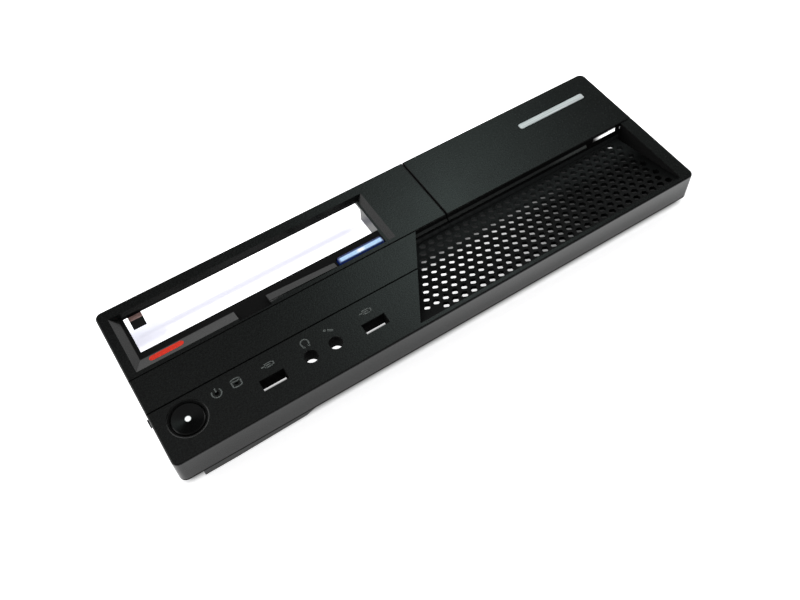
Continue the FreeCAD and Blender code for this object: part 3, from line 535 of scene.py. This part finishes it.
# The ledge under the lip is smoother, and painted light makes it paler, more so towards its right end.
LEDGE_PLACE = ((-60, -59, 4, 4.2), (-2, -1, 21.9, 22.3))
LEDGE_PAINTED_LIGHT = (0.4, "#2e3130", WIDE, *LEDGE_PLACE)
LEDGE_END_PAINTED_HIGHLIGHT = (0.4, "#545856", (104, 120, 140, 141), *LEDGE_PLACE)
PANEL_PAINTED_LIGHT_AND_SHADE = [MOUTH_FLOOR_PAINTED_SHADE, BROW_PAINTED_SHADE, LEDGE_PAINTED_LIGHT, LEDGE_END_PAINTED_HIGHLIGHT, SEAM_PAINTED_SHADE]
panel_abs = moulded_abs("satin_black_abs_panels", **SATIN, painted_light_patches=PANEL_PAINTED_LIGHT_AND_SHADE)
finish_node("drive_surround", panel_abs)
finish_node("eject_retainer", matt_abs)


# Sloped strip: the rest of the lower bevel, right of the finger scoop, as a narrow ramp on the shelf.
# Moulded with the surround in the same grained black ABS; it runs out just short of the eject button.
def add_bars(name, bars, material):
    """Piece of four-sided bars: each has two ends, and an end has its X and four corners in Y and Z."""
    points = [(x * MM, y * MM, z * MM) for ends in bars for x, corners in ends for y, z in corners]
    sides = [(k, (k + 1) % 4, (k + 1) % 4 + 4, k + 4) for k in range(4)]
    box_faces = [(0, 3, 2, 1), (4, 5, 6, 7)] + sides
    faces = [tuple(8 * bar + k for k in face) for bar in range(len(bars)) for face in box_faces]
    piece = add_mesh(name, points, [], faces)
    piece.data.materials.append(material)
    return piece


STRIP_ENDS = [
    (-84.3, [(8.6, 21.9), (13.9, 21.9), (13.9, 22.85), (8.6, 24.35)]),
    (-41.6, [(7.9, 21.9), (11.9, 21.9), (11.9, 23.05), (7.9, 24.2)]),
]
strip = add_bars("sloped_strip", [STRIP_ENDS], panel_abs)
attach(strip, "bezel")

# Lip ledge: the narrow step along the foot of the lip over the grille, broken at the panels' seam.
# Moulded with the panels in the same black ABS; its slope catches the light below the lip's face, which
# painted shade darkens, and painted light makes the ledge paler still.
LEDGE_RUNS = [(4.6, 29.9), (30.9, 134)]
LEDGE_CORNERS = [(4.6, 21.5), (2.9, 20.8), (2.9, 19.8), (4.6, 18.4)]
ledge = add_bars("lip_ledge", [[(x, LEDGE_CORNERS) for x in run] for run in LEDGE_RUNS], panel_abs)
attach(ledge, "bezel")

# Red stripe: a plain mark on the lower bevel of the drive's mouth.
# Red ink, printed in one flat film with round ends.
STRIPE_LENGTH = 20 * MM
STRIPE_WIDTH = 4.4 * MM
STRIPE_PLACE = (-145 * MM, 11.6 * MM)
BEVEL_LOW = (7 * MM, 25 * MM)
BEVEL_RUN = (8 * MM, -3 * MM)
bevel_length = math.hypot(*BEVEL_RUN)
along_y, along_z = (run / bevel_length for run in BEVEL_RUN)
stripe_up = (STRIPE_PLACE[1] - BEVEL_LOW[0]) / along_y
round_end = STRIPE_WIDTH / 2
end_x = STRIPE_LENGTH / 2 - round_end
stripe_outline = arc(end_x, 0, round_end, round_end, -90, 90)
stripe_outline += arc(-end_x, 0, round_end, round_end, 90, 270)
stripe_points = [
    (
        STRIPE_PLACE[0] + x,
        BEVEL_LOW[0] + (stripe_up + y) * along_y - film * along_z,
        BEVEL_LOW[1] + (stripe_up + y) * along_z + film * along_y,
    )
    for film in (0, INK_FILM)
    for x, y in stripe_outline
]
count = len(stripe_outline)
stripe_faces = [tuple(range(count, 2 * count)), tuple(reversed(range(count)))]
stripe_faces += [(k, (k + 1) % count, count + (k + 1) % count, count + k) for k in range(count)]
stripe = add_mesh("red_stripe", stripe_points, [], stripe_faces)
# A dense film of dull ink, so it is a clear red with a slight mottle.
red_ink = mottled(
    "red_pad_print_ink", {"Roughness": 0.7, "Specular IOR Level": 0.1}, GRAIN, "#ea3a26", "#c92a1a"
)
stripe.data.materials.append(red_ink)
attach(stripe, "bezel")

# Stop pad: the small brown pad on the block behind the slot's upper left corner.
# Nitrile rubber sheet, die-cut and stuck on to keep the tray quiet; dull, with a faint bloom.
BLOOM = 2 * MM
pad_rubber = mottled("brown_nitrile_rubber", {"Roughness": 0.6}, BLOOM, "#a98780", "#7e5c58")
finish_node("drive_stop_pad", pad_rubber)

# Eject button: the blue bar under the slot, with a stem that reaches the drive's own button.
# Polycarbonate tinted blue, moulded in a polished tool, so it is deep blue at its edges.
# A painted highlight makes its middle pale, with a painted white spot over the stem,
# and the whole bar has a painted glow though it is no lamp.
POLYCARBONATE_IOR = 1.58
PAINTED_HIGHLIGHT_BAR = ((-39, -37.4, -11.6, -10), (8.9, 9.8, 11.6, 12.4))
STEM_PAINTED_HIGHLIGHT = ((-28, -25.2, -23.8, -21), (9.2, 10.4, 11, 12.2))
tinted, tint_tree, tint_surface, tint_place = new_material(
    "tinted_blue_polycarbonate",
    {"IOR": POLYCARBONATE_IOR, "Roughness": 0.2, "Specular IOR Level": 0.3, "Emission Strength": 0.35},
)
bar_tone = mottle(tint_tree, tint_place, CLOUD, "#12296a", "#0a1a48")[0]
bar_highlight_tone = mottle(tint_tree, tint_place, CLOUD, "#b9d8f7", "#a4c6ee")[0]
# Mix the painted highlights into the bar's blue tint.
for place, highlight_tone in ((PAINTED_HIGHLIGHT_BAR, bar_highlight_tone), (STEM_PAINTED_HIGHLIGHT, linear("#ffffff"))):
    highlight_share = soft_box(tint_tree, tint_place, *place)
    bar_tone = add_node(
        tint_tree,
        "ShaderNodeMix",
        {"data_type": "RGBA", "Factor": highlight_share, MIX_FIRST: bar_tone, MIX_SECOND: highlight_tone},
    ).outputs[MIX_RESULT]
tint_tree.links.new(bar_tone, tint_surface["Base Color"])
tint_tree.links.new(bar_tone, tint_surface["Emission Color"])
finish_node("eject_button", tinted)

# Bay cover: the upper right blank over the unused drive bay, hooked to the rail of the seam.
# Black ABS out of the same kind of tool as the drive surround, with the same satin grain.
finish_node("bay_cover", panel_abs)

# Badge strip: the blank bar let into the bay cover.
# Aluminium sheet, brushed lengthwise, anodised and stuck in its seat.
# The brush leaves long fine lines that spread the light to a soft silver.
BRUSH_LENGTH = 20
BRUSH_WIDTH = 0.35
brushed, brush_tree, brush_surface, brush_place = new_material("brushed_aluminium", {"Metallic": 1})
brush_turn = add_node(
    brush_tree,
    "ShaderNodeMapping",
    {"Vector": brush_place, "Scale": (1 / BRUSH_LENGTH, 1 / BRUSH_WIDTH, 1 / BRUSH_WIDTH)},
).outputs["Vector"]
brush_tone, brush_lines = mottle(brush_tree, brush_turn, MM, "#e6e7e8", "#b9bbbd")
brush_gloss = add_node(
    brush_tree, "ShaderNodeMapRange", {"Value": brush_lines, "To Min": 0.3, "To Max": 0.5}
).outputs["Result"]
brush_tree.links.new(brush_tone, brush_surface["Base Color"])
brush_tree.links.new(brush_gloss, brush_surface["Roughness"])
finish_node("badge_strip", brushed)


# Floor: a plain white table under the bezel.
# Painted board, glowing so strongly that it is pure white, with painted pools of light
# and soft painted shades near and under the bezel.
def strongest(tree, place, patches):
    """Strongest of several soft patches at each point."""
    most = 0
    for strength, x, y in patches:
        share = soft_box(tree, place, x, y)
        patch = add_node(tree, "ShaderNodeMath", {"operation": "MULTIPLY", 0: share, 1: strength}).outputs[0]
        most = add_node(tree, "ShaderNodeMath", {"operation": "MAXIMUM", 0: patch, 1: most}).outputs[0]
    return most


FLOOR_HALF = 20
FLOOR_CORNERS = [(-FLOOR_HALF, -FLOOR_HALF), (FLOOR_HALF, -FLOOR_HALF)]
FLOOR_CORNERS += [(FLOOR_HALF, FLOOR_HALF), (-FLOOR_HALF, FLOOR_HALF)]
floor = add_mesh("floor", [(x, y, 0) for x, y in FLOOR_CORNERS], [], [(0, 1, 2, 3)])
board, board_tree, board_surface, board_place = new_material("white_painted_board", {"Roughness": 0.9})
# Each painted light, painted shade and painted slot shadow has its strength and its soft box along X and Y.
EVERYWHERE = (-30001, -30000, 30000, 30001)
TABLE_LIGHT = 0.76
LIGHTS = [
    (0.4, EVERYWHERE, (-30001, -30000, -68, -60)),  # before the lower wall
    (0.8, (-60, 70, 30000, 30001), (-30001, -30000, -66, -58)),  # before its right half
    (0.5, EVERYWHERE, (-50, 0, 30000, 30001)),  # under and behind the bezel
]
SHADES = [
    (0.985, (0, 120, 169, 172), (-50, -46, 46, 50)),  # under the right half, deeper to its end
    (0.985, (-8, 8, 169, 172), (-16, 3, 46, 50)),  # under the bay cover
    (0.9, (168, 171, 179.2, 180.6), (15.6, 16.8, 21.2, 22.4)),  # beside the finger notch
    (0.85, (-171, -163, 163, 171), (-53.5, -49, -46, -40)),  # along the lower wall
    (0.95, (-120, -116, -92, -89), (-46, -44, -27, -24.2)),  # under the left USB hole
    (0.95, (-56, -53, -32, -28), (-46, -44, -27, -24.2)),  # under the right USB hole
]
# Painted light on the table where light falls through the finger notch, cut out of the painted shades.
NOTCH_LIGHT = ((156, 164, 175.2, 176.2), (5, 9, 18.8, 19.8))
SLOT_SHADOWS = [
    (0.56, (-160, -152, -20, 5), (39, 43.5, 45, 49)),
    (0.5, (-164, -158, -142, -124), (32, 40, 48, 56)),
]
board_light = TABLE_LIGHT
for strength, x, y in LIGHTS:
    share = soft_box(board_tree, board_place, x, y)
    board_light = add_node(
        board_tree, "ShaderNodeMath", {"operation": "MULTIPLY_ADD", 0: share, 1: strength, 2: board_light}
    ).outputs[0]
board_shade = add_node(
    board_tree,
    "ShaderNodeMath",
    {
        "operation": "SUBTRACT",
        "use_clamp": True,
        0: strongest(board_tree, board_place, SHADES),
        1: soft_box(board_tree, board_place, *NOTCH_LIGHT),
    },
).outputs[0]
board_slot_shadow = strongest(board_tree, board_place, SLOT_SHADOWS)
board_dim = add_node(
    board_tree, "ShaderNodeMath", {"operation": "MAXIMUM", 0: board_shade, 1: board_slot_shadow}
).outputs[0]
board_open = add_node(board_tree, "ShaderNodeMath", {"operation": "SUBTRACT", 0: 1, 1: board_dim}).outputs[0]
board_glow = add_node(
    board_tree, "ShaderNodeMath", {"operation": "MULTIPLY", 0: board_light, 1: board_open}
).outputs[0]
# The table is white, faintly blue in the painted shadows that show through the drive's slot, and grey in the
# painted shades.
board_tint = add_node(
    board_tree,
    "ShaderNodeMix",
    {
        "data_type": "RGBA",
        "Factor": board_slot_shadow,
        MIX_FIRST: linear("#ffffff"),
        MIX_SECOND: linear("#d8d8ff"),
    },
).outputs[MIX_RESULT]
board_paint = add_node(
    board_tree,
    "ShaderNodeMix",
    {
        "data_type": "RGBA",
        "Factor": board_shade,
        MIX_FIRST: linear("#f4f4f6"),
        MIX_SECOND: linear("#1c1c1d"),
    },
).outputs[MIX_RESULT]
board_tree.links.new(board_paint, board_surface["Base Color"])
board_tree.links.new(board_tint, board_surface["Emission Color"])
board_tree.links.new(board_glow, board_surface["Emission Strength"])
floor.data.materials.append(board)

# Light: a white room behind the bezel under a dim ceiling, with a soft lamp at each side.
# The room's walls give the bevels their grey, and the right lamp the pale patch on the middle of the face.
WALL_LIGHT = 2.3
WALL_TOP = (0.4, 0.6)
GAP_LIGHT = 0.03
CEILING_LIGHT = 0.56
CEILING_EDGE = (0.75, 0.9)
FRONT_SHARE = 0.25
FRONT_TO_BACK = (-0.35, 0.1)
# Each lamp has its direction, strength, sharpness and colour.
LAMPS = [
    ((0.362, 0.495, 0.79), 3.9, 160, (0.8, 1, 0.95, 1)),
    ((-0.57, 0.5, 0.65), 3.2, 40, (1, 1, 1, 1)),
]
world = bpy.data.worlds.new("white_room")
bpy.context.scene.world = world
world.use_nodes = True
sky = world.node_tree
sky.nodes.clear()
direction = add_node(sky, "ShaderNodeTexCoord").outputs["Generated"]
_, depth, height = add_node(sky, "ShaderNodeSeparateXYZ", {"Vector": direction}).outputs
wall = add_node(
    sky,
    "ShaderNodeMapRange",
    {
        "interpolation_type": "SMOOTHSTEP",
        "Value": height,
        "From Min": WALL_TOP[0],
        "From Max": WALL_TOP[1],
        "To Min": WALL_LIGHT,
        "To Max": GAP_LIGHT,
    },
).outputs["Result"]
behind = add_node(
    sky,
    "ShaderNodeMapRange",
    {
        "interpolation_type": "SMOOTHSTEP",
        "Value": depth,
        "From Min": FRONT_TO_BACK[0],
        "From Max": FRONT_TO_BACK[1],
        "To Min": FRONT_SHARE,
    },
).outputs["Result"]
ceiling = add_node(
    sky,
    "ShaderNodeMapRange",
    {
        "interpolation_type": "SMOOTHSTEP",
        "Value": height,
        "From Min": CEILING_EDGE[0],
        "From Max": CEILING_EDGE[1],
        "To Max": CEILING_LIGHT,
    },
).outputs["Result"]
room_light = add_node(
    sky, "ShaderNodeMath", {"operation": "MULTIPLY_ADD", 0: wall, 1: behind, 2: ceiling}
).outputs[0]
light = add_node(sky, "ShaderNodeBackground", {"Color": (1, 1, 1, 1), "Strength": room_light}).outputs[0]
for aim, strength, sharpness, colour in LAMPS:
    length = math.sqrt(sum(a * a for a in aim))
    facing = add_node(
        sky,
        "ShaderNodeVectorMath",
        {"operation": "DOT_PRODUCT", 0: direction, 1: [a / length for a in aim]},
    ).outputs["Value"]
    ahead = add_node(sky, "ShaderNodeMath", {"operation": "MAXIMUM", 0: facing, 1: 0}).outputs[0]
    beam = add_node(sky, "ShaderNodeMath", {"operation": "POWER", 0: ahead, 1: sharpness}).outputs[0]
    glow = add_node(sky, "ShaderNodeMath", {"operation": "MULTIPLY", 0: beam, 1: strength}).outputs[0]
    lamp = add_node(sky, "ShaderNodeBackground", {"Color": colour, "Strength": glow}).outputs[0]
    light = add_node(sky, "ShaderNodeAddShader", {0: light, 1: lamp}).outputs[0]
add_node(sky, "ShaderNodeOutputWorld", {"Surface": light})
bpy.context.scene.view_settings.view_transform = "Standard"

# Camera: over the bezel's lower left corner, at the photograph's viewing angle.
# Its place, angles and focal length were fitted to the corners and edges of the face.
FRAME_PIXELS = 800
FOCAL_PIXELS = 883
CAMERA_PLACE = (-0.15965, -0.26314, 0.42444)
CAMERA_ANGLES = (33.84036, 1.67266, -32.65743)
camera_data = bpy.data.cameras.new("camera")
camera_data.sensor_fit = "HORIZONTAL"
camera_data.lens = FOCAL_PIXELS / FRAME_PIXELS * camera_data.sensor_width
camera = bpy.data.objects.new("camera", camera_data)
camera.location = CAMERA_PLACE
camera.rotation_euler = [math.radians(angle) for angle in CAMERA_ANGLES]
bpy.context.collection.objects.link(camera)
bpy.context.scene.camera = camera
